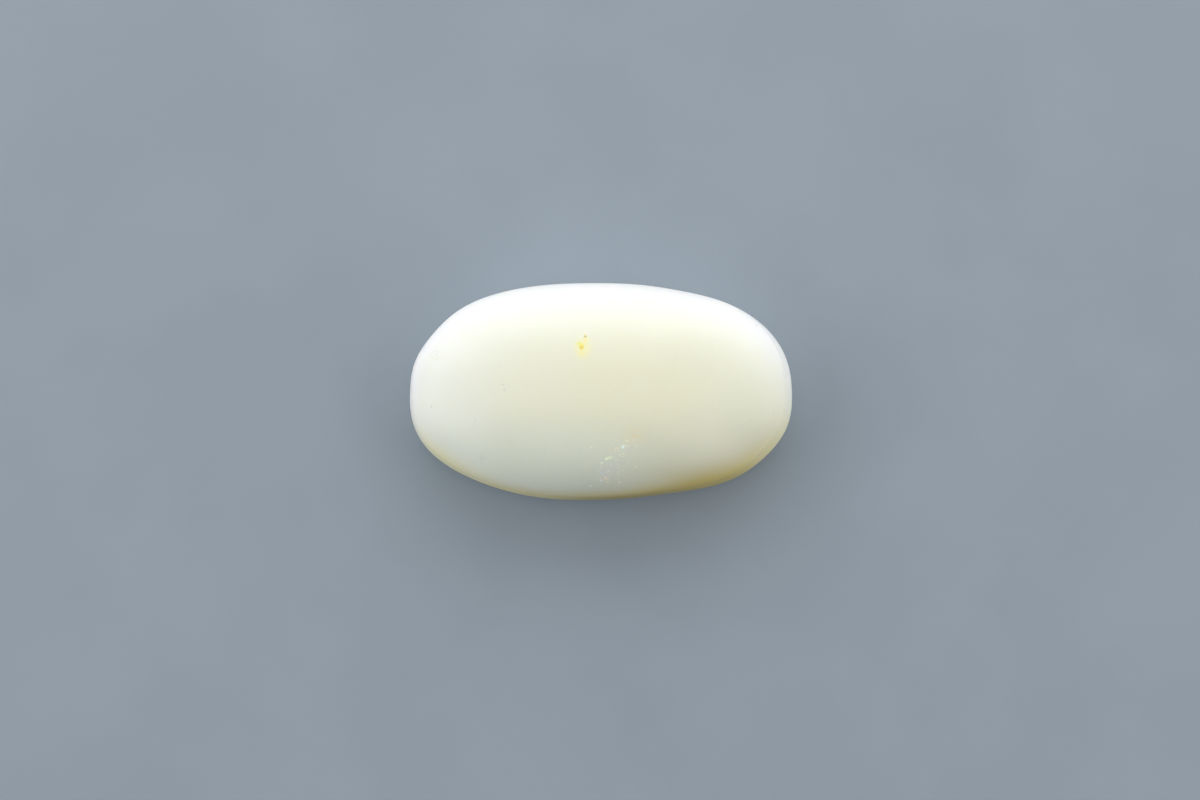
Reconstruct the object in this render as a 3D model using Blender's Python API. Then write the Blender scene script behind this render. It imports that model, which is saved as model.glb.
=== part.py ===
"""A polished oval white opal, a low-domed cabochon lying on its flat back.

+X runs along the stone and +Z up through the dome. The origin is on the resting
plane, under the middle of the stone. Lengths are in metres.
"""

import math

import bmesh
import bpy
from mathutils import Matrix, Vector

# Size of the finished stone
LENGTH = 0.0180
WIDTH = 0.0102
HEIGHT = 0.0052
GIRDLE_HEIGHT = 0.0015

# Outline from above, as shares of the half length and half width. An exponent of 2
# is an ellipse, and a higher one is squarer. The far side is a little shorter than
# the near side, and sits a little to the left of it.
SQUARENESS = 2.48
FAR_SIDE_NARROWING = 0.021
LEAN = 0.009

# Stretches of the outline that were ground flatter, each with its middle and its
# spread in degrees and its depth as a share of the outline
FLATS = {
    "far_right": (69, 13, 0.016),
    "far_left": (151, 15, 0.018),
    "near_left": (234, 35, 0.057),
    "near_right": (288, 19, 0.059),
    "right_corner": (325, 22, 0.036),
}

# Dome profile from the girdle to the top, with the same kind of exponent
DOME_FULLNESS = 2.25

# Strip ground steeper between the girdle and the dome, with a soft edge along its
# top. Its width, as a share of the outline, is largest at the right end and nothing
# on the far side. A rounding of 1 is a straight strip, and 2 has no edge left.
RIGHT_STRIP = 0.045
LEFT_STRIP = 0.015
NEAR_STRIP = 0.020
STRIP_ROUNDING = 1.4

# Below the girdle the side rounds under to the flat back, whose edge is at this
# share of the outline
BACK_SHARE = 0.90
UNDERSIDE_FULLNESS = 3.0

# The stone starts as a sphere of this many slices and rings. The rings from the
# girdle down to this latitude make the rounded side, and the rest the flat back.
SLICES = 96
RINGS = 48
BACK_EDGE_LATITUDE = math.radians(45)

QUARTER_TURN = math.radians(90)
MILK_WHITE = (0.77, 0.76, 0.60, 1.0)
POLISH_ROUGHNESS = 0.12
OPAL_IOR = 1.45


def clear_scene():
    for obj in list(bpy.data.objects):
        bpy.data.objects.remove(obj, do_unlink=True)


def stone_collection():
    collection = bpy.data.collections.new("polished_opal")
    bpy.context.scene.collection.children.link(collection)
    return collection


def polished_opal_material():
    material = bpy.data.materials.new("milk_opal")
    material.use_nodes = True
    shader = material.node_tree.nodes["Principled BSDF"]
    shader.inputs["Base Color"].default_value = MILK_WHITE
    shader.inputs["Roughness"].default_value = POLISH_ROUGHNESS
    shader.inputs["Metallic"].default_value = 0.0
    shader.inputs["IOR"].default_value = OPAL_IOR
    return material


def rounded(value, exponent):
    """A sine or cosine bent so that the pair traces a superellipse."""
    return math.copysign(abs(value) ** (2 / exponent), value)


def ground_off(angle):
    """Share of the outline that the flatter stretches take off at an angle."""
    total = 0.0
    for middle, spread, depth in FLATS.values():
        from_middle = math.remainder(math.degrees(angle) - middle, 360) / spread
        total += depth * math.exp(-(from_middle**2))
    return total


def outline_point(angle, share):
    """The point of the outline at an angle, scaled down to a share of its size."""
    along = rounded(math.cos(angle), SQUARENESS)
    across = rounded(math.sin(angle), SQUARENESS)
    reach = share * (1 - ground_off(angle))
    x = along * (1 - FAR_SIDE_NARROWING * across) * reach - LEAN * across**2 * share
    y = across * reach
    return x * LENGTH / 2, y * WIDTH / 2


def strip_width(angle):
    """Width of the ground strip at an angle, as a share of the outline."""
    right = max(0.0, math.cos(angle))
    left = max(0.0, -math.cos(angle))
    near = max(0.0, -math.sin(angle))
    return RIGHT_STRIP * right**2 + LEFT_STRIP * left**2 + NEAR_STRIP * near**2


def dome_profile(latitude, angle):
    """Share of the outline and height of a point above the girdle."""
    share = rounded(math.cos(latitude), DOME_FULLNESS)
    lift = rounded(math.sin(latitude), DOME_FULLNESS)
    edge_share = 1 - strip_width(angle)
    if share > edge_share:
        edge_lift = (1 - edge_share**DOME_FULLNESS) ** (1 / DOME_FULLNESS)
        share = 1 - (1 - edge_share) * (lift / edge_lift) ** STRIP_ROUNDING
    return share, GIRDLE_HEIGHT + (HEIGHT - GIRDLE_HEIGHT) * lift


def underside_profile(depth):
    """Share of the outline and height of a point this far below the girdle, as an
    angle that grows from nothing at the girdle to a quarter turn at the middle."""
    if depth >= BACK_EDGE_LATITUDE:
        inwards = (depth - BACK_EDGE_LATITUDE) / (QUARTER_TURN - BACK_EDGE_LATITUDE)
        return BACK_SHARE * (1 - inwards), 0.0
    turn = QUARTER_TURN * depth / BACK_EDGE_LATITUDE
    share = BACK_SHARE + (1 - BACK_SHARE) * rounded(math.cos(turn), UNDERSIDE_FULLNESS)
    drop = rounded(math.sin(turn), UNDERSIDE_FULLNESS)
    return share, GIRDLE_HEIGHT * (1 - drop)


def stone_surface():
    """A sphere with every point moved to its place on the stone."""
    surface = bmesh.new()
    bmesh.ops.create_uvsphere(surface, u_segments=SLICES, v_segments=RINGS, radius=1)
    for vert in surface.verts:
        latitude = math.asin(max(-1.0, min(1.0, vert.co.z)))
        angle = math.atan2(vert.co.y, vert.co.x)
        if latitude >= 0:
            share, height = dome_profile(latitude, angle)
        else:
            share, height = underside_profile(-latitude)
        x, y = outline_point(angle, share)
        vert.co = Vector((x, y, height))
    return surface


def fit_to_size(surface):
    """Scales the stone to exactly its stated size and centres it on the origin."""
    corners = [
        (min(v.co[axis] for v in surface.verts), max(v.co[axis] for v in surface.verts))
        for axis in range(3)
    ]
    size = [high - low for low, high in corners]
    middle = [(high + low) / 2 for low, high in corners]
    to_origin = Matrix.Translation((-middle[0], -middle[1], -corners[2][0]))
    scale = Matrix.Diagonal((LENGTH / size[0], WIDTH / size[1], HEIGHT / size[2], 1))
    bmesh.ops.transform(surface, matrix=scale @ to_origin, verts=surface.verts)


def build_opal(collection):
    surface = stone_surface()
    fit_to_size(surface)
    mesh = bpy.data.meshes.new("opal_cabochon")
    surface.to_mesh(mesh)
    surface.free()
    mesh.shade_smooth()
    mesh.materials.append(polished_opal_material())
    stone = bpy.data.objects.new("opal_cabochon", mesh)
    collection.objects.link(stone)
    return stone


clear_scene()
build_opal(stone_collection())
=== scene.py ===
# %% [markdown]
# # A polished white opal
#
# The stone is one piece of milky opal, ground by hand to a long free-form oval with
# a low dome, a soft girdle and a flat back, then polished all over. It lies on its
# flat back, and the camera looks down on the dome.
#
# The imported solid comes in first, as a frame that nothing here moves. Its box gives
# the length, width and height that the finely modelled stone has to keep.

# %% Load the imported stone
import math

import bpy
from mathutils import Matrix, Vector
from mathutils.kdtree import KDTree


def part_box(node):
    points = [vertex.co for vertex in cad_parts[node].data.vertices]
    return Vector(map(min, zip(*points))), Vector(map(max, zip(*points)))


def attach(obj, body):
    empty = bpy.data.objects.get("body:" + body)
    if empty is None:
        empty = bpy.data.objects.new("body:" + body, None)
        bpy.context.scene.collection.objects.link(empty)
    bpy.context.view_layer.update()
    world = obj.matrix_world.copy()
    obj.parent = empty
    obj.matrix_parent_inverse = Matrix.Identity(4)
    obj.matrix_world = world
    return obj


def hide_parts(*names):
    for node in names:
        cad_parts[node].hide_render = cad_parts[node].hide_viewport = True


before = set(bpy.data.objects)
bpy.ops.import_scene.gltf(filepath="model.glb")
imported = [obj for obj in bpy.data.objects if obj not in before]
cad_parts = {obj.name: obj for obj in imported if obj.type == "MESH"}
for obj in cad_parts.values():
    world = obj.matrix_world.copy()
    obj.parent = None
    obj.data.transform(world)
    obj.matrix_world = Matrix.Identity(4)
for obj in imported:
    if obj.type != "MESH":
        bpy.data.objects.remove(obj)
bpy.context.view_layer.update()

MM = 0.001
MICRON = 1e-6
SOLID_NAME = "opal_cabochon"
low_corner, high_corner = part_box(SOLID_NAME)
LENGTH, WIDTH, HEIGHT = high_corner - low_corner
print(f"packed stone: {LENGTH / MM:.2f} x {WIDTH / MM:.2f} x {HEIGHT / MM:.2f} mm")

# %% [markdown]
# ## Camera
#
# The camera looks almost straight down, so that the dome faces it. A long lens keeps
# the oval undistorted. The distance and the aim follow from where the stone's outline
# sits in a picture of 1200 by 800 pixels, so the camera is worked out and not tuned by
# eye.

# %% Place the camera
PICTURE_WIDTH, PICTURE_HEIGHT = 1200, 800
STONE_LEFT, STONE_RIGHT = 410, 792
STONE_TOP, STONE_BOTTOM = 283, 500
LENS, SENSOR_WIDTH = 100.0, 36.0
NEAREST_SEEN, FARTHEST_SEEN = 0.005, 5.0
CAMERA_ELEVATION = math.radians(85)
GIRDLE_HEIGHT = 1.5 * MM

pixel_size = LENGTH / (STONE_RIGHT - STONE_LEFT)
camera_distance = pixel_size * PICTURE_WIDTH * LENS / SENSOR_WIDTH
off_right = (STONE_LEFT + STONE_RIGHT - PICTURE_WIDTH) / 2 * pixel_size
off_up = (PICTURE_HEIGHT - STONE_TOP - STONE_BOTTOM) / 2 * pixel_size

towards_camera = Vector((0, -math.cos(CAMERA_ELEVATION), math.sin(CAMERA_ELEVATION)))
picture_up = Vector((0, math.sin(CAMERA_ELEVATION), math.cos(CAMERA_ELEVATION)))
aim = Vector((-off_right, 0, GIRDLE_HEIGHT)) - off_up * picture_up

camera_data = bpy.data.cameras.new("camera")
camera_data.lens = LENS
camera_data.sensor_width = SENSOR_WIDTH
camera_data.clip_start = NEAREST_SEEN
camera_data.clip_end = FARTHEST_SEEN
camera = bpy.data.objects.new("camera", camera_data)
bpy.context.scene.collection.objects.link(camera)
camera.location = aim + towards_camera * camera_distance
camera.rotation_euler = (math.pi / 2 - CAMERA_ELEVATION, 0, 0)
bpy.context.scene.camera = camera
bpy.context.view_layer.update()
print(f"camera {camera_distance / MM:.0f} mm away, one pixel is {pixel_size / MM:.4f} mm")

# %% [markdown]
# ## The stone's outline
#
# A cutter grinds the outline first. On this stone it is squarer than an ellipse: a
# superellipse with an exponent of about 2.5. Its far side is a little shorter than
# its near side, and five stretches were ground flatter, each given by its middle and
# its spread in degrees and its depth as a share of the outline. A circle is added and
# each of its points is moved to the outline, which is quicker and truer than pulling
# a cage about by eye.

# %% Draw the girdle ring
SLICES = 384
SQUARENESS = 2.48
FAR_SIDE_NARROWING = 0.021
LEAN = 0.009
FLATS = {
    "far_right": (69, 13, 0.016),
    "far_left": (151, 15, 0.018),
    "near_left": (234, 35, 0.057),
    "near_right": (288, 19, 0.059),
    "right_corner": (325, 22, 0.036),
}


def rounded(value, exponent):
    """A sine or cosine bent so that the pair traces a superellipse."""
    return math.copysign(abs(value) ** (2 / exponent), value)


def ground_off(angle):
    """Share of the outline that the flatter stretches take off at an angle."""
    total = 0.0
    for middle, spread, depth in FLATS.values():
        from_middle = math.remainder(math.degrees(angle) - middle, 360) / spread
        total += depth * math.exp(-(from_middle**2))
    return total


def outline_point(angle):
    """The point of the outline at an angle."""
    along = rounded(math.cos(angle), SQUARENESS)
    across = rounded(math.sin(angle), SQUARENESS)
    reach = 1 - ground_off(angle)
    x = along * (1 - FAR_SIDE_NARROWING * across) * reach - LEAN * across**2
    return x * LENGTH / 2, across * reach * WIDTH / 2


bpy.ops.object.select_all(action="DESELECT")
bpy.ops.mesh.primitive_circle_add(vertices=SLICES, radius=1)
stone = bpy.context.object
stone.name = "polished_opal"
for vert in stone.data.vertices:
    x, y = outline_point(math.atan2(vert.co.y, vert.co.x))
    vert.co = (x, y, GIRDLE_HEIGHT)
print(f"girdle ring of {len(stone.data.vertices)} points")

# %% [markdown]
# ## The dome and the back
#
# Next comes the dome. By hand this is extrude and scale, over and over: each new
# ring is the last one lifted and drawn in, until the last ring is merged to a point.
# The profile is a superellipse too, nearly flat on top with full shoulders. The open
# edge that is left is the girdle, and the same two steps take it down, round the
# lower edge and across the flat back.

# %% Raise the dome and close the back
DOME_RINGS, UNDERCUT_RINGS, BACK_RINGS = 72, 20, 12
DOME_FULLNESS = 2.25
UNDERSIDE_FULLNESS = 3.0
BACK_SHARE = 0.90
CLOSED_SHARE = 1e-4
LAST_SHRINK = 0.5
QUARTER_TURN = math.pi / 2


def dome_profile():
    """Share of the outline and height of each ring above the girdle."""
    for ring in range(1, DOME_RINGS + 1):
        climb = QUARTER_TURN * ring / DOME_RINGS
        lift = rounded(math.sin(climb), DOME_FULLNESS)
        share = rounded(math.cos(climb), DOME_FULLNESS)
        yield share, GIRDLE_HEIGHT + (HEIGHT - GIRDLE_HEIGHT) * lift


def underside_profile():
    """Share of the outline and height of each ring below the girdle."""
    for ring in range(1, UNDERCUT_RINGS + 1):
        turn = QUARTER_TURN * ring / UNDERCUT_RINGS
        bulge = rounded(math.cos(turn), UNDERSIDE_FULLNESS)
        drop = rounded(math.sin(turn), UNDERSIDE_FULLNESS)
        yield BACK_SHARE + (1 - BACK_SHARE) * bulge, GIRDLE_HEIGHT * (1 - drop)
    for ring in range(1, BACK_RINGS + 1):
        yield BACK_SHARE * (1 - ring / BACK_RINGS), 0.0


def loft(profile):
    """Extrudes the selected edge loop ring by ring, and merges the last ring."""
    share, height = 1.0, GIRDLE_HEIGHT
    for next_share, next_height in profile:
        shrink = LAST_SHRINK if next_share < CLOSED_SHARE else next_share / share
        step = (0, 0, next_height - height)
        bpy.ops.mesh.extrude_region_move(TRANSFORM_OT_translate={"value": step})
        bpy.ops.transform.resize(value=(shrink, shrink, 1), center_override=(0, 0, 0))
        share, height = next_share, next_height
    bpy.ops.mesh.merge(type="CENTER")


bpy.ops.object.mode_set(mode="EDIT")
bpy.ops.mesh.select_all(action="SELECT")
loft(dome_profile())
bpy.ops.mesh.select_all(action="DESELECT")
bpy.ops.mesh.select_non_manifold()
loft(underside_profile())
bpy.ops.mesh.select_all(action="SELECT")
bpy.ops.mesh.normals_make_consistent(inside=False)
bpy.ops.object.mode_set(mode="OBJECT")
print(f"stone of {len(stone.data.polygons)} faces")

# %% [markdown]
# ## The ground strip
#
# Between the dome and the girdle the cutter left a slightly steeper strip with a soft
# edge along its top. It is about 0.4 mm wide at the right end, 0.1 mm at the left end
# and the near side, and gone at the far side. The points of the dome that fall in the
# strip slide inwards or outwards, each at its own height.

# %% Grind the strip
RIGHT_STRIP, LEFT_STRIP, NEAR_STRIP = 0.045, 0.015, 0.020
STRIP_ROUNDING = 1.4


def strip_width(angle):
    """Width of the strip at an angle, as a share of the outline."""
    right, left = max(0.0, math.cos(angle)), max(0.0, -math.cos(angle))
    near = max(0.0, -math.sin(angle))
    return RIGHT_STRIP * right**2 + LEFT_STRIP * left**2 + NEAR_STRIP * near**2


def dome_partner(value):
    """The share at a lift, or the lift at a share, on the dome's profile."""
    return (1 - min(1.0, value) ** DOME_FULLNESS) ** (1 / DOME_FULLNESS)


def ring_angle(point):
    """The angle that outline_point was given for the ring point below a point."""
    along = math.copysign(abs(point.x / LENGTH) ** (SQUARENESS / 2), point.x)
    across = math.copysign(abs(point.y / WIDTH) ** (SQUARENESS / 2), point.y)
    return math.atan2(across, along)


ground = 0
for vert in stone.data.vertices:
    lift = (vert.co.z - GIRDLE_HEIGHT) / (HEIGHT - GIRDLE_HEIGHT)
    edge_share = 1 - strip_width(ring_angle(vert.co))
    edge_lift = dome_partner(edge_share)
    if 0 < lift < edge_lift:
        share = 1 - (1 - edge_share) * (lift / edge_lift) ** STRIP_ROUNDING
        vert.co.xy *= share / dome_partner(lift)
        ground += 1
print(f"{ground} points ground into the strip")

# %% [markdown]
# ## True size
#
# Grinding the flats and the strip took a little off the sides. The stone is scaled by
# a hair and centred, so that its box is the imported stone's box again. The finished
# rim is kept in a search tree, which later tells how far in from it a point lies.

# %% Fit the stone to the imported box
def select_only(piece):
    bpy.ops.object.select_all(action="DESELECT")
    piece.select_set(True)
    bpy.context.view_layer.objects.active = piece


def measured_box(mesh):
    """The lowest and the highest corner of a mesh."""
    columns = list(zip(*(vert.co for vert in mesh.vertices)))
    return Vector(map(min, columns)), Vector(map(max, columns))


select_only(stone)
low, high = measured_box(stone.data)
growth = [(high_corner[axis] - low_corner[axis]) / (high - low)[axis] for axis in range(3)]
bpy.ops.object.mode_set(mode="EDIT")
bpy.ops.mesh.select_all(action="SELECT")
bpy.ops.transform.resize(value=growth, center_override=(0, 0, 0))
bpy.ops.object.mode_set(mode="OBJECT")
low, high = measured_box(stone.data)
slide = (high_corner + low_corner - high - low) / 2
bpy.ops.object.mode_set(mode="EDIT")
bpy.ops.transform.translate(value=slide)
bpy.ops.object.mode_set(mode="OBJECT")
rim = KDTree(SLICES)
for index, vert in enumerate(stone.data.vertices[:SLICES]):
    rim.insert((vert.co.x, vert.co.y, 0), index)
rim.balance()
print("scaled by", [round(share, 4) for share in growth])

# %% [markdown]
# ## Hand polish
#
# A dome ground by hand is never quite true: it swells and dips by a hundredth of a
# millimetre over a few millimetres, and that is what makes reflections on it look
# soft and alive. A Displace modifier with a cloud texture does this on the dome
# alone, through a vertex group, so the flat back stays flat.

# %% Add the unevenness of hand work
SWELL_WAVELENGTH = 4.5 * MM
SWELL_DEPTH = 0.03 * MM
DOME_FADE_HEIGHT = 1.2 * MM

dome_group = stone.vertex_groups.new(name="dome")
for vert in stone.data.vertices:
    weight = (vert.co.z - DOME_FADE_HEIGHT) / DOME_FADE_HEIGHT
    if weight > 0:
        dome_group.add([vert.index], min(1.0, weight), "REPLACE")

swell_texture = bpy.data.textures.new("slow_swell", "CLOUDS")
swell_texture.noise_scale = SWELL_WAVELENGTH
swell_texture.noise_depth = 1
swell = stone.modifiers.new("hand_polish", "DISPLACE")
swell.texture = swell_texture
swell.texture_coords = "LOCAL"
swell.strength = SWELL_DEPTH
swell.vertex_group = dome_group.name
bpy.ops.object.modifier_apply(modifier=swell.name)
print(f"dome swells by up to {SWELL_DEPTH / 2 / MICRON:.0f} micrometres")

# %% [markdown]
# ## Finding a place on the stone
#
# Pits, the stain and the specks are placed by where they are seen in the picture. A
# ray goes from the camera through the pixel, and the point where it meets the stone
# is the mark's place, so every mark sits on the surface from any side.

# %% Find the stone under a pixel
def seen_at(pixel_x, pixel_y):
    """The point of the stone that the camera shows at a pixel, and its normal."""
    right = (pixel_x / PICTURE_WIDTH - 0.5) * SENSOR_WIDTH
    up = (PICTURE_HEIGHT / 2 - pixel_y) / PICTURE_WIDTH * SENSOR_WIDTH
    direction = camera.matrix_world.to_quaternion() @ Vector((right, up, -LENS))
    hit, point, normal, _ = stone.ray_cast(camera.location, direction.normalized())
    if not hit:
        raise ValueError(f"no stone at {pixel_x}, {pixel_y}")
    return point, normal


CROWN_PIXEL = (600, 392)
crown = seen_at(*CROWN_PIXEL)[0]
print("the crown is seen at", [round(part / MM, 2) for part in crown], "mm")

# %% [markdown]
# ## Pits and a nick
#
# Polish never takes out every pit. This stone keeps eight, each a tenth or two of a
# millimetre wide, and a small crescent nick at the far left. The faces around a mark
# are cut finer first, so that the dent is round, and then one point is pulled in with
# proportional editing, which takes its neighbours along. A pit is given by its pixel,
# its reach in pixels, its depth in micrometres and how much darker its middle is made.

# %% Press in the pits and the nick
PITS = [
    (431.3, 406.8, 2.6, 14, 0.34), (475.0, 420.0, 2.2, 9, 0.30), (502.9, 384.8, 2.0, 8, 0.40),
    (504.3, 390.0, 2.2, 10, 0.45), (544.0, 451.0, 1.9, 7, 0.08), (750.0, 421.0, 2.2, 9, 0.12),
    (756.5, 325.5, 2.2, 9, 0.60), (773.0, 413.0, 2.0, 8, 0.30),
]
NICK_PIXEL = (435.5, 355.0)
NICK_RADIUS_PIXELS = 4.1
NICK_STEPS = 7
NICK_START, NICK_TURN = math.radians(55), math.radians(250)
NICK_WIDTH_PIXELS, NICK_DEPTH_MICRONS = 1.9, 7
FINE_CUTS, FINE_REACH = 3, 2


def cut_finer(place, reach):
    """Subdivides the faces of the stone around a place."""
    for polygon in stone.data.polygons:
        polygon.select = (polygon.center - place).length < reach
    bpy.ops.object.mode_set(mode="EDIT")
    bpy.ops.mesh.select_mode(type="FACE")
    bpy.ops.mesh.subdivide(number_cuts=FINE_CUTS, smoothness=0)
    bpy.ops.mesh.select_all(action="DESELECT")
    bpy.ops.object.mode_set(mode="OBJECT")


def press_in(place, normal, reach, depth):
    """Pulls the nearest point in along the normal, with its neighbours."""
    nearest = min(stone.data.vertices, key=lambda vert: (vert.co - place).length)
    nearest.select = True
    bpy.ops.object.mode_set(mode="EDIT")
    bpy.ops.mesh.select_mode(type="VERT")
    bpy.ops.transform.translate(
        value=-normal * depth, use_proportional_edit=True,
        proportional_edit_falloff="SMOOTH", proportional_size=reach,
    )
    bpy.ops.mesh.select_all(action="DESELECT")
    bpy.ops.object.mode_set(mode="OBJECT")


bpy.ops.object.mode_set(mode="EDIT")
bpy.ops.mesh.select_all(action="DESELECT")
bpy.ops.object.mode_set(mode="OBJECT")
for pixel_x, pixel_y, reach_pixels, depth_microns, _ in PITS:
    place, normal = seen_at(pixel_x, pixel_y)
    reach = reach_pixels * pixel_size
    cut_finer(place, FINE_REACH * reach)
    press_in(place, normal, reach, depth_microns * MICRON)

cut_finer(seen_at(*NICK_PIXEL)[0], (NICK_RADIUS_PIXELS + NICK_WIDTH_PIXELS) * pixel_size)
nick_pixels = []
for step in range(NICK_STEPS):
    turn = NICK_START + NICK_TURN * step / (NICK_STEPS - 1)
    pixel_x = NICK_PIXEL[0] + NICK_RADIUS_PIXELS * math.cos(turn)
    pixel_y = NICK_PIXEL[1] - NICK_RADIUS_PIXELS * math.sin(turn)
    nick_pixels.append((pixel_x, pixel_y))
    place, normal = seen_at(pixel_x, pixel_y)
    press_in(place, normal, NICK_WIDTH_PIXELS * pixel_size, NICK_DEPTH_MICRONS * MICRON)
bpy.ops.object.shade_smooth()
print(f"{len(PITS)} pits and a nick, {len(stone.data.polygons)} faces")

# %% [markdown]
# ## Where the rim changes colour
#
# Milky opal scatters blue light back and lets amber light through, so its thin near
# edge looks like honey and its lit far edge is the palest white. Both are painted into
# the colour as light and shade, and numbers stored on each point say how strongly:
# "pale" is painted light on the lit far edge, "light" painted light on the right end,
# "grey" painted shade on the thin middle of the near side, "honey" the long near band
# of painted amber light let through, "glow" painted light at the corners where light
# shines through it, "peach" painted light at the very edge, and "gold" and "amber"
# darker lines at the very edge, painted shade with the amber of light let through.
# All of them fade below the girdle, the narrow ones most. A band is given by its
# middle and spread in degrees, its reach in from the rim and its strength.

# %% Store the rim weights on the mesh
# Where the rim's painted light and shade reach, as weights on every point
RIM_BANDS = {
    "pale": {
        "right_end": (358, 16, 0.35 * MM, 0.80),
        "far_right": (30, 24, 1.10 * MM, 0.75),
        "far": (90, 60, 1.25 * MM, 0.80),
        "far_left": (148, 20, 0.80 * MM, 0.65),
        "left_end": (174, 20, 0.40 * MM, 0.75),
    },
    "light": {"right_end": (340, 23, 0.34 * MM, 0.80)},
    "grey": {"near_middle": (270, 26, 1.10 * MM, 0.42)},
    "honey": {
        "middle": (267, 30, 0.25 * MM, 0.85),
        "near_right": (306, 23, 0.76 * MM, 0.93),
        "wide": (322, 40, 1.60 * MM, 0.16),
    },
    "glow": {
        "near_left": (218, 16, 0.42 * MM, 0.85),
        "right_corner": (326, 14, 0.45 * MM, 0.50),
        "right_edge": (324, 10, 0.13 * MM, 0.50),
    },
    "gold": {"near_right": (302, 18, 0.23 * MM, 0.85)},
    "peach": {"near_left": (242, 17, 0.13 * MM, 0.75)},
    "amber": {"hairline": (277, 20, 0.085 * MM, 0.75)},
}
FADE_BELOW = 0.35 * MM
MOST_KEPT = 0.5


def band_weight(point, bands):
    """How far bands along the rim reach to a point, from 0 to 1."""
    from_rim = rim.find((point.x, point.y, 0))[2]
    angle = math.degrees(math.atan2(point.y / WIDTH, point.x / LENGTH))
    faded = math.exp(-((max(0.0, GIRDLE_HEIGHT - point.z) / FADE_BELOW) ** 2))
    total = 0.0
    for middle, spread, reach, strength in bands.values():
        along = math.remainder(angle - middle, 360)
        away = (along / spread) ** 2 + (from_rim / reach) ** 2
        kept = MOST_KEPT * min(1.0, reach / MM)
        total += strength * math.exp(-away) * (kept + (1 - kept) * faded)
    return min(1.0, total)


for layer, bands in RIM_BANDS.items():
    weights = [band_weight(vert.co, bands) for vert in stone.data.vertices]
    stone.data.attributes.new(layer, "FLOAT", "POINT").data.foreach_set("value", weights)
    print(f"{layer}: up to {max(weights):.2f}")

# %% [markdown]
# ## Node helpers
#
# The opal's finish is colours laid over one another, each with a soft mask. A few
# small helpers keep that readable: one adds a node and fills its sockets, one
# calculates, one lays a colour over what is below it, and the rest make masks.

# %% Helpers for shader nodes
def add_node(tree, kind, inputs=None, **settings):
    """Adds a node; inputs are values or sockets, by name or by number."""
    made = tree.nodes.new(kind)
    for name, value in settings.items():
        setattr(made, name, value)
    for name, value in (inputs or {}).items():
        if isinstance(value, bpy.types.NodeSocket):
            tree.links.new(value, made.inputs[name])
        else:
            made.inputs[name].default_value = value
    return made


def math_of(tree, operation, first, second):
    """One calculation on two values or sockets."""
    return add_node(tree, "ShaderNodeMath", {0: first, 1: second}, operation=operation).outputs[0]


def lay_over(tree, below, colour, mask, share=1.0):
    """Lays a colour over the one below it, as far as the mask and the share say."""
    # A Mix node keeps its colour sockets behind those for numbers and vectors
    factor, first, second, result = 0, 6, 7, 2
    mask = math_of(tree, "MULTIPLY", mask, share)
    mix = add_node(
        tree, "ShaderNodeMix", {factor: mask, first: below, second: colour}, data_type="RGBA"
    )
    return mix.outputs[result]


def place_on_stone(tree, middle=(0, 0, 0), turn=0.0, reach=(1, 1, 1)):
    """Object coordinates measured from a middle, turned, in units of reach."""
    return add_node(
        tree, "ShaderNodeMapping",
        {
            "Vector": add_node(tree, "ShaderNodeTexCoord").outputs["Object"],
            "Location": middle, "Rotation": (0, 0, turn), "Scale": reach,
        },
        vector_type="TEXTURE",
    ).outputs["Vector"]


def soft_range(tree, value, start, end):
    """0 at start and 1 at end, with a smooth run between them."""
    return add_node(
        tree, "ShaderNodeMapRange", {"Value": value, "From Min": start, "From Max": end},
        interpolation_type="SMOOTHSTEP",
    ).outputs["Result"]


def soft_patch(tree, middle, reach, turn=0.0, core=0.0):
    """An oval mask in space: 1 at its core, fading to 0 at its reach."""
    place = place_on_stone(tree, middle, turn, reach)
    distance = add_node(tree, "ShaderNodeVectorMath", {0: place}, operation="LENGTH")
    return soft_range(tree, distance.outputs["Value"], 1.0, core)


def noise_mask(tree, size, low, high, detail=3.0, place=None):
    """A soft random mask with features of a size in metres, 0 at low and 1 at high."""
    noise = add_node(
        tree, "ShaderNodeTexNoise",
        {"Vector": place or place_on_stone(tree), "Scale": 1 / size, "Detail": detail},
    )
    return soft_range(tree, noise.outputs["Fac"], low, high)


print("helpers ready")

# %% [markdown]
# ## Milk-white body
#
# The body is cream in the middle and a cooler white towards the ends and the far
# side, with a faint green-grey mist low on the near side that is partly painted shade
# of that side. Soft patches of painted shade dim both ends, and one of painted light
# brightens the near left. Slow clouds and a fine grain lie over all of it, because no
# milky opal is one even colour.

# %% Lay down the body colour
COOL_WHITE = (0.865, 0.89, 0.835, 1.0)
CREAM = (0.865, 0.86, 0.67, 1.0)
# Green-grey, partly painted shade of the near side
GREEN_GREY_SHADE = (0.83, 0.895, 0.77, 1.0)
CLOUD = (0.87, 0.88, 0.78, 1.0)
GRAIN = (0.70, 0.70, 0.55, 1.0)
CREAM_MIDDLE, CREAM_REACH = (1.4 * MM, -0.6 * MM, 4.5 * MM), (12.5 * MM, 7.0 * MM, 14 * MM)
GREEN_GREY_SHADE_MIDDLE, GREEN_GREY_SHADE_REACH = (-2.2 * MM, -3.3 * MM, 3.9 * MM), (8.2 * MM, 2.7 * MM, 4.0 * MM)
BODY_CORE = 0.1
GREEN_GREY_SHADE_SHARE, CLOUD_SHARE, GRAIN_SHARE = 0.8, 0.22, 0.07
CLOUD_NOISE = (2.8 * MM, 0.40, 0.72)
GRAIN_NOISE = (0.16 * MM, 0.45, 0.75)
FINE_DETAIL = 2.0
END_REACH = (2.4 * MM, 2.7 * MM, 3.0 * MM)
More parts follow.
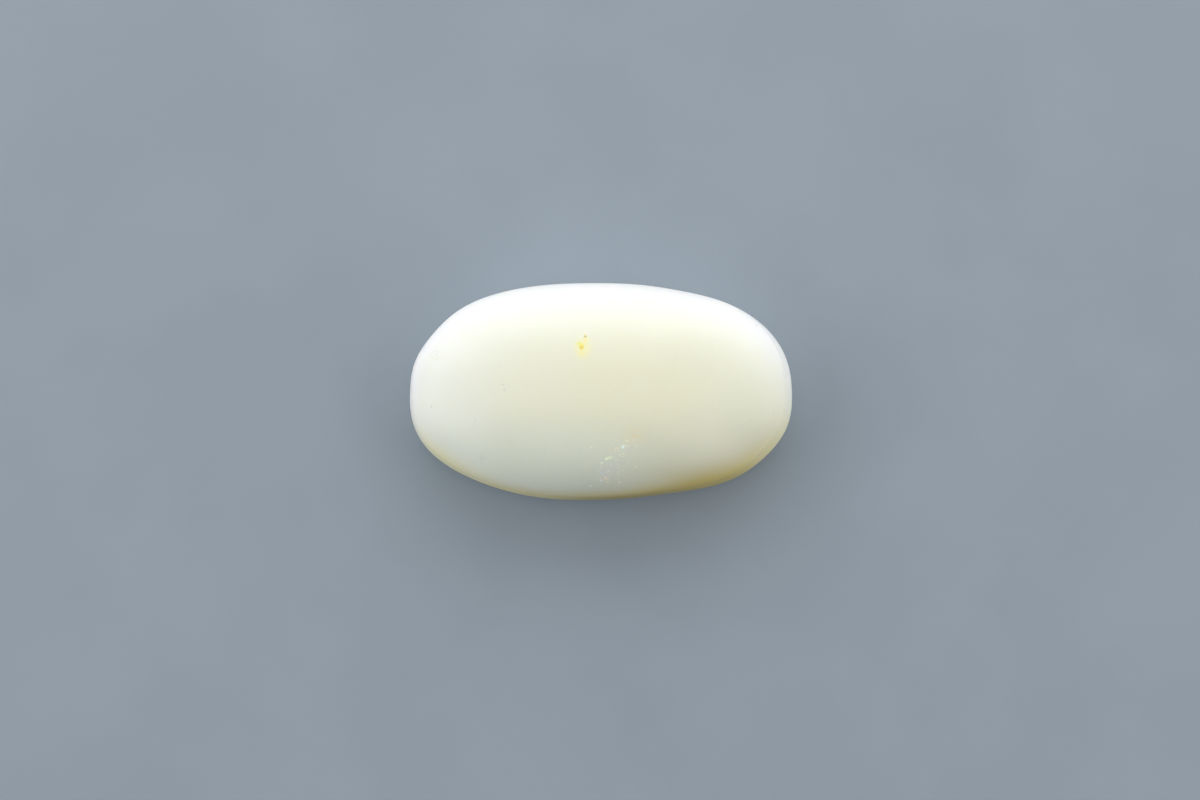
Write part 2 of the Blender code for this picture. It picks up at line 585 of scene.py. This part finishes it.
# Painted shade on the left and right ends, and painted light low on the near left
END_LIGHT_AND_SHADE = {
    "left": ((-7.0 * MM, -1.0 * MM, 3.8 * MM), (0.80, 0.83, 0.74, 1.0), 0.60),
    "right": ((7.0 * MM, -1.2 * MM, 3.8 * MM), (0.74, 0.77, 0.62, 1.0), 0.55),
    "near_left": ((-6.2 * MM, -3.1 * MM, 3.0 * MM), (0.91, 0.98, 0.86, 1.0), 0.78),
}

opal = bpy.data.materials.new("milk_opal_polished")
opal.use_nodes = True
tree = opal.node_tree
shader = tree.nodes["Principled BSDF"]

cream_mask = soft_patch(tree, CREAM_MIDDLE, CREAM_REACH, core=BODY_CORE)
colour = lay_over(tree, COOL_WHITE, CREAM, cream_mask)
green_grey_shade_mask = soft_patch(tree, GREEN_GREY_SHADE_MIDDLE, GREEN_GREY_SHADE_REACH, core=BODY_CORE)
colour = lay_over(tree, colour, GREEN_GREY_SHADE, green_grey_shade_mask, GREEN_GREY_SHADE_SHARE)
# Lays the painted shade at the ends and the painted light on the near left
for middle, tint, strength in END_LIGHT_AND_SHADE.values():
    colour = lay_over(tree, colour, tint, soft_patch(tree, middle, END_REACH), strength)
colour = lay_over(tree, colour, CLOUD, noise_mask(tree, *CLOUD_NOISE), CLOUD_SHARE)
grain = noise_mask(tree, *GRAIN_NOISE, detail=FINE_DETAIL)
colour = lay_over(tree, colour, GRAIN, grain, GRAIN_SHARE)
print(f"body of {len(tree.nodes)} nodes")

# %% [markdown]
# ## The rim
#
# Each stored weight lays its own tint of painted light and shade on the body. A little
# noise breaks up the edge of the bands.

# %% Colour the rim
# Painted light: pale, light, honey, glow, peach. Painted shade: grey, and the darker gold and
# amber edge lines
RIM_TINTS = {
    "pale": (0.98, 0.99, 0.99, 1.0),
    "light": (0.97, 0.98, 0.76, 1.0),
    "grey": (0.50, 0.56, 0.50, 1.0),
    "honey": (0.68, 0.56, 0.18, 1.0),
    "glow": (0.98, 0.90, 0.50, 1.0),
    "gold": (0.62, 0.475, 0.085, 1.0),
    "peach": (0.98, 0.86, 0.36, 1.0),
    "amber": (0.33, 0.25, 0.05, 1.0),
}
RIM_NOISE, RIM_NOISE_SHARE = (1.1 * MM, 0.2, 0.8), 0.15

unevenness = math_of(tree, "MULTIPLY", noise_mask(tree, *RIM_NOISE), RIM_NOISE_SHARE)
evenness = math_of(tree, "SUBTRACT", 1.0, unevenness)
for layer, tint in RIM_TINTS.items():
    weight = add_node(tree, "ShaderNodeAttribute", attribute_name=layer).outputs["Fac"]
    colour = lay_over(tree, colour, tint, weight, evenness)
print(f"{len(RIM_TINTS)} tints on the rim")

# %% [markdown]
# ## The yellow stain
#
# Above the middle an iron stain has crept in: an ochre dot with a paler streak below
# it, and a golden dot a little lower in a pale yellow halo. Each patch of it is given
# by its pixel, its reach in pixels across and up, its tint and its strength.

# %% Colour the stain
STAIN_CORE = 0.15
STAIN = {
    "halo": ((583.0, 348), (12, 16), (0.96, 0.92, 0.48, 1.0), 0.66),
    "tail": ((581.6, 353), (4.0, 5.5), (0.94, 0.88, 0.40, 1.0), 0.55),
    "warm_edge": ((576.8, 345), (2.2, 3.0), (0.96, 0.84, 0.48, 1.0), 0.40),
    "blob": ((579.4, 343.6), (4.4, 3.2), (0.90, 0.86, 0.28, 1.0), 0.85),
    "bright": ((582.0, 345.0), (3.2, 2.8), (0.98, 0.87, 0.22, 1.0), 0.90),
    "golden": ((581.6, 347.4), (3.5, 3.2), (0.88, 0.70, 0.13, 1.0), 1.00),
    "streak": ((585.0, 340.3), (3.0, 4.5), (0.97, 0.84, 0.42, 1.0), 0.75),
    "side": ((587.6, 339.0), (3.0, 3.0), (0.97, 0.92, 0.46, 1.0), 0.60),
    "glow_above": ((585.2, 334.8), (2.0, 2.2), (0.97, 0.86, 0.42, 1.0), 0.70),
    "ochre": ((585.3, 336.5), (2.3, 1.6), (0.60, 0.50, 0.12, 1.0), 0.90),
}


def pixel_patch(pixel, reach_pixels, core=0.0, turn=0.0):
    """A soft patch seen at a pixel, with its reach in pixels across and up."""
    across, up = (reach * pixel_size for reach in reach_pixels)
    return soft_patch(tree, seen_at(*pixel)[0], (across, up, max(across, up)), turn, core)


for pixel, reach_pixels, tint, strength in STAIN.values():
    mask = pixel_patch(pixel, reach_pixels, core=STAIN_CORE)
    colour = lay_over(tree, colour, tint, mask, strength)
print(f"stain of {len(STAIN)} patches")

# %% [markdown]
# ## A cloud of fire
#
# Opal's play of colour comes from tiny ordered patches that throw one colour of the
# light back. Here they show only in one slanting cloud near the front: a haze of peach
# and lilac with pinpoints of green, yellow and blue, brighter than the body. A Voronoi
# texture scatters small cells, its random colour picks some of them, and the brightest
# ones are placed one by one. A faint emission is painted light: the specks glow with
# what they throw back, though they are no lamp.

# %% Colour the fire
FIRE_MIDDLE = (617, 459)
FIRE_REACH = (46, 20)
FIRE_TURN = math.radians(50)
FIRE_CORE = 0.2
FIRE_CELL = 0.115 * MM
FIRE_GLOW_STRENGTH = 0.45
CELLS_PICKED = (0.35, 0.95)
CELL_EDGE, CELL_HEART = 0.45, 0.10
SCATTER_SHARE = 0.60
FIRE_BLUE, FIRE_GREEN = (0.55, 0.70, 1.00, 1.0), (0.66, 0.96, 0.60, 1.0)
FIRE_YELLOW, FIRE_ROSE = (1.00, 0.95, 0.60, 1.0), (1.00, 0.70, 0.60, 1.0)
DARK = (0.0, 0.0, 0.0, 1.0)
MOTTLE_NOISE, MOTTLE_LEAST = (0.13 * MM, 0.40, 0.62), 0.5
HAZES = {
    "peach": ((634, 435), (20, 15), (0.90, 0.83, 0.57, 1.0), 0.42),
    "peach_low": ((605, 479), (9, 7), (0.90, 0.76, 0.62, 1.0), 0.35),
    "peach_left": ((613, 451), (8, 6), (0.90, 0.80, 0.62, 1.0), 0.30),
    "lilac": ((606, 471), (17, 14), (0.80, 0.80, 0.83, 1.0), 0.32),
    "lilac_high": ((630, 449), (8, 8), (0.82, 0.80, 0.77, 1.0), 0.45),
}
PINPOINT_CORE = 0.2
PINPOINTS = {
    "cyan": ((623.0, 447.1), 1.9, (0.69, 1.00, 1.00, 1.0), 0.70),
    "yellow": ((626.8, 440.8), 1.9, (0.95, 0.94, 0.50, 1.0), 0.25),
    "green": ((609.9, 457.6), 2.7, (0.85, 1.00, 0.58, 1.0), 0.30),
    "lime": ((606.6, 458.8), 2.0, (0.82, 1.00, 0.62, 1.0), 0.72),
    "white_left": ((591.1, 447.2), 1.5, (0.90, 0.97, 0.80, 1.0), 0.30),
    "white_mid": ((601.8, 463.0), 1.9, (0.90, 0.97, 0.76, 1.0), 0.35),
    "white_low": ((590.6, 486.2), 1.6, (0.80, 0.96, 0.88, 1.0), 0.35),
    "white_right": ((619.1, 482.5), 1.7, (0.86, 0.96, 0.80, 1.0), 0.30),
    "moss": ((636.0, 467.2), 1.8, (0.82, 0.92, 0.58, 1.0), 0.25),
    "moss_low": ((607.7, 482.0), 1.7, (0.84, 0.90, 0.44, 1.0), 0.25),
    "blue": ((601.2, 473.6), 1.8, (0.50, 0.66, 1.00, 1.0), 0.35),
    "blue_low": ((600.9, 480.4), 1.6, (0.74, 0.84, 1.00, 1.0), 0.40),
    "rose": ((606.0, 478.3), 2.4, (0.98, 0.78, 0.62, 1.0), 0.25),
}

mottle = math_of(tree, "ADD", noise_mask(tree, *MOTTLE_NOISE), MOTTLE_LEAST)
for pixel, reach_pixels, tint, strength in HAZES.values():
    mask = math_of(tree, "MULTIPLY", pixel_patch(pixel, reach_pixels), strength)
    colour = lay_over(tree, colour, tint, mask, mottle)

cells = add_node(
    tree, "ShaderNodeTexVoronoi",
    {"Vector": place_on_stone(tree), "Scale": 1 / FIRE_CELL, "Randomness": 1.0},
)
cell_picks = add_node(tree, "ShaderNodeSeparateColor", {"Color": cells.outputs["Color"]})
picked = soft_range(tree, cell_picks.outputs["Red"], *CELLS_PICKED)
pinpoint = soft_range(tree, cells.outputs["Distance"], CELL_EDGE, CELL_HEART)
fire_cloud = pixel_patch(FIRE_MIDDLE, FIRE_REACH, core=FIRE_CORE, turn=FIRE_TURN)
scatter = math_of(tree, "MULTIPLY", math_of(tree, "MULTIPLY", picked, pinpoint), fire_cloud)
fire_hues = add_node(tree, "ShaderNodeValToRGB", {"Fac": cell_picks.outputs["Green"]})
hue_stops = fire_hues.color_ramp.elements
hue_stops[0].color = FIRE_BLUE
hue_stops[1].color = FIRE_ROSE
for position, hue in ((0.3, FIRE_GREEN), (0.65, FIRE_YELLOW)):
    hue_stops.new(position).color = hue
fire = lay_over(tree, DARK, fire_hues.outputs["Color"], scatter, SCATTER_SHARE)

for pixel, reach_pixels, tint, strength in PINPOINTS.values():
    mask = pixel_patch(pixel, (reach_pixels, reach_pixels), core=PINPOINT_CORE)
    colour = lay_over(tree, colour, tint, mask, strength)
    fire = lay_over(tree, fire, tint, mask, strength)
# Painted light: the scattered cells and pinpoints glow through the emission
tree.links.new(fire, shader.inputs["Emission Color"])
shader.inputs["Emission Strength"].default_value = FIRE_GLOW_STRENGTH
print(f"fire of {len(HAZES)} hazes, scattered cells and {len(PINPOINTS)} placed pinpoints")

# %% [markdown]
# ## Specks, and darker floors in the pits and the nick
#
# Each pit is made a little darker in its middle, and the nick's crescent gets a faint painted
# shade that stands in for the shade of a dent too shallow to show it.
# Two soft greenish blotches lie low on the left, and a lilac speck lies between two
# of the pits.

# %% Darken the pits
PIT_DARKENING = (0.40, 0.385, 0.35, 1.0)
NICK_SHADE_SHARE = 0.14
NICK_FLOOR_PIXEL = (436.7, 355.0)
DARK_REACH_SHARE = 0.6
BLOTCHES = {
    "green_streak": ((482, 458), (5, 8), (0.74, 0.82, 0.62, 1.0), 0.35),
    "green_blotch": ((510, 442), (8, 6), (0.76, 0.83, 0.66, 1.0), 0.30),
    "lilac_speck": ((504.2, 387.4), (3.4, 2.4), (0.85, 0.86, 0.79, 1.0), 0.60),
}

for pixel, reach_pixels, tint, strength in BLOTCHES.values():
    colour = lay_over(tree, colour, tint, pixel_patch(pixel, reach_pixels), strength)
# Painted shade along the nick's crescent, for a dent too shallow to shade itself
for pixel in nick_pixels + [NICK_FLOOR_PIXEL]:
    mask = pixel_patch(pixel, (NICK_WIDTH_PIXELS, NICK_WIDTH_PIXELS))
    colour = lay_over(tree, colour, PIT_DARKENING, mask, NICK_SHADE_SHARE)
# Each pit a little darker in its middle
for pixel_x, pixel_y, reach_pixels, _, dark_share in PITS:
    dark_reach = DARK_REACH_SHARE * reach_pixels
    mask = pixel_patch((pixel_x, pixel_y), (dark_reach, dark_reach))
    colour = lay_over(tree, colour, PIT_DARKENING, mask, dark_share)
tree.links.new(colour, shader.inputs["Base Color"])
print(f"dirt in {len(PITS)} pits and the nick, {len(BLOTCHES)} blotches")

# %% [markdown]
# ## Polish, scratches and the lapped back
#
# The dome has a soft polish with hairline scratches. The flat back was only lapped,
# so it is duller and carries straight grinding lines. Light enters milky opal and
# comes out again a millimetre away, which subsurface scattering gives. All of the
# roughness stays above 0.28, because a denoised render treats a surface as a mirror
# below about 0.27, and a range across that value shows as patches with hard edges.

# %% Polish the dome and lap the back
DOME_ROUGHNESS = (0.29, 0.36)
BACK_ROUGHNESS = (0.38, 0.50)
SCRATCH_TURN, SCRATCH_NOISE = math.radians(24), (0.05 * MM, 0.66, 0.80)
LAP_TURN, LAP_NOISE = math.radians(-12), (0.07 * MM, 0.35, 0.70)
LINE_STRETCH = 45
SMEAR_NOISE = (1.8 * MM, 0.3, 0.7)
BACK_FADES_FROM, BACK_FULL_AT = 0.30 * MM, 0.05 * MM
LINE_STRENGTH, LINE_DEPTH = 0.12, 0.01 * MM
OPAL_IOR = 1.45
MILKINESS = 0.5
MILK_TINTS = (1.0, 0.9, 0.7)
MILK_DEPTH = 1.2 * MM


def fine_lines(turn, size, low, high):
    """Thin long lines, as a mask, that run at an angle over the stone."""
    place = place_on_stone(tree, turn=turn, reach=(LINE_STRETCH, 1, LINE_STRETCH))
    return noise_mask(tree, size, low, high, detail=FINE_DETAIL, place=place)


def between(first, second, mask):
    """Runs from the first value to the second as a mask runs from 0 to 1."""
    return add_node(
        tree, "ShaderNodeMapRange", {"Value": mask, "To Min": first, "To Max": second}
    ).outputs["Result"]


height = add_node(tree, "ShaderNodeSeparateXYZ", {"Vector": place_on_stone(tree)}).outputs["Z"]
on_back = soft_range(tree, height, BACK_FADES_FROM, BACK_FULL_AT)
scratches = fine_lines(SCRATCH_TURN, *SCRATCH_NOISE)
lap_lines = fine_lines(LAP_TURN, *LAP_NOISE)
smears = noise_mask(tree, *SMEAR_NOISE)

dome_roughness = between(*DOME_ROUGHNESS, math_of(tree, "MAXIMUM", smears, scratches))
back_roughness = between(*BACK_ROUGHNESS, lap_lines)
roughness = between(dome_roughness, back_roughness, on_back)
tree.links.new(roughness, shader.inputs["Roughness"])

relief = between(scratches, lap_lines, on_back)
bump = add_node(
    tree, "ShaderNodeBump", {"Strength": LINE_STRENGTH, "Distance": LINE_DEPTH, "Height": relief}
)
tree.links.new(bump.outputs["Normal"], shader.inputs["Normal"])

shader.inputs["IOR"].default_value = OPAL_IOR
shader.inputs["Subsurface Weight"].default_value = MILKINESS
shader.inputs["Subsurface Radius"].default_value = MILK_TINTS
shader.inputs["Subsurface Scale"].default_value = MILK_DEPTH
stone.data.materials.clear()
stone.data.materials.append(opal)
print(f"opal finish of {len(tree.nodes)} nodes")

# %% [markdown]
# ## Floor
#
# The stone lies on a plain pale blue-grey floor. A slight unevenness in its colour
# keeps it from looking painted.

# %% Lay the floor
FLOOR_SIZE = 2.0
FLOOR_COLOUR = (0.297, 0.351, 0.410, 1.0)
FLOOR_SHADE = (0.283, 0.336, 0.393, 1.0)
FLOOR_NOISE = (8 * MM, 0.35, 0.65)
FLOOR_ROUGHNESS = 0.6

bpy.ops.object.select_all(action="DESELECT")
bpy.ops.mesh.primitive_plane_add(size=FLOOR_SIZE)
floor = bpy.context.object
floor.name = "floor"
floor_material = bpy.data.materials.new("floor_grey")
floor_material.use_nodes = True
floor_tree = floor_material.node_tree
floor_shader = floor_tree.nodes["Principled BSDF"]
floor_clouds = noise_mask(floor_tree, *FLOOR_NOISE)
floor_colour = lay_over(floor_tree, FLOOR_COLOUR, FLOOR_SHADE, floor_clouds)
floor_tree.links.new(floor_colour, floor_shader.inputs["Base Color"])
floor_shader.inputs["Roughness"].default_value = FLOOR_ROUGHNESS
floor.data.materials.append(floor_material)
print(f"floor {FLOOR_SIZE:.0f} m wide")

# %% [markdown]
# ## Light
#
# A broad soft box stands low beyond the far side and burns that shoulder out to
# white. A smaller and weaker one on each side lights the ends, and a dim even world
# fills the near side, which is left a cool grey. A soft box is given by its heading
# and its height above the floor in degrees, its width and height and its power.

# %% Set up the lights
LIGHT_DISTANCE = 0.30
SOFT_BOXES = [
    ("far_softbox", 90, 27, (0.80, 0.24), 1.08),
    ("left_softbox", 180, 27, (0.30, 0.26), 0.41),
    ("right_softbox", 0, 27, (0.30, 0.26), 0.36),
]
WORLD_WHITE = (1.0, 1.0, 1.0, 1.0)
WORLD_STRENGTH = 0.357

for name, heading, elevation, size, power in SOFT_BOXES:
    light = bpy.data.lights.new(name, "AREA")
    light.shape = "RECTANGLE"
    light.size, light.size_y = size
    light.energy = power
    lamp = bpy.data.objects.new(name, light)
    bpy.context.scene.collection.objects.link(lamp)
    heading, elevation = math.radians(heading), math.radians(elevation)
    out = Vector((math.cos(heading), math.sin(heading), 0)) * math.cos(elevation)
    out.z = math.sin(elevation)
    lamp.location = out * LIGHT_DISTANCE
    lamp.rotation_euler = out.to_track_quat("Z", "Y").to_euler()

world = bpy.data.worlds.new("studio")
bpy.context.scene.world = world
world.use_nodes = True
background = world.node_tree.nodes["Background"]
background.inputs["Color"].default_value = WORLD_WHITE
background.inputs["Strength"].default_value = WORLD_STRENGTH
bpy.context.scene.view_settings.view_transform = "Standard"
print(f"{len(SOFT_BOXES)} soft boxes and an even world")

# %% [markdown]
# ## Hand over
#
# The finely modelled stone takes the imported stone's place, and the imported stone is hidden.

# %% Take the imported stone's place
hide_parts(SOLID_NAME)
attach(stone, "root")
print(f"finished stone of {len(stone.data.polygons)} faces")
